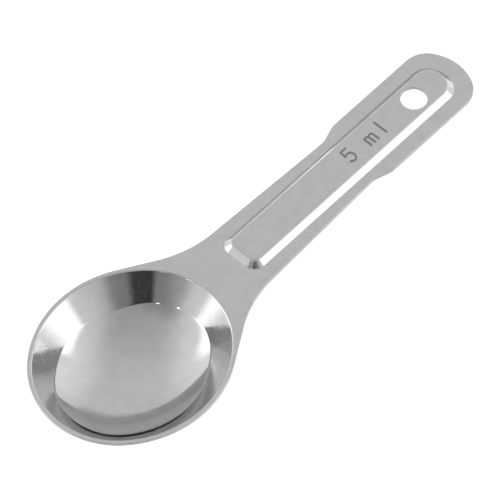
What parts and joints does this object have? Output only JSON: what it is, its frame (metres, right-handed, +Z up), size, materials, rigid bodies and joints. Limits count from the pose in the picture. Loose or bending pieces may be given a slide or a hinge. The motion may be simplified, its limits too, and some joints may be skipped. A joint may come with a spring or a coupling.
{
  "type": "measuring spoon",
  "caption": "Stainless steel measuring spoon pressed from one sheet, with a near-round bowl, a waisted flat handle, a raised stiffening panel and a hanging hole.",
  "frame": {"origin": "middle of the hanging hole, on the upper face of the raised panel; the bowl's level rim lies 1.1 mm below it and the middle of the bowl is 71.3 mm away along -X", "axes": "+X from the bowl along the handle, +Y across the spoon, +Z up out of the bowl; the rim, the neck and the handle's flat border lie level, parallel to the XY plane"},
  "size_m": [0.1014, 0.0334, 0.0105],
  "materials": {
    "steel": "polished"
  },
  "bodies": {
    "root": {"spoon": "steel"}
  },
  "joints": []
}
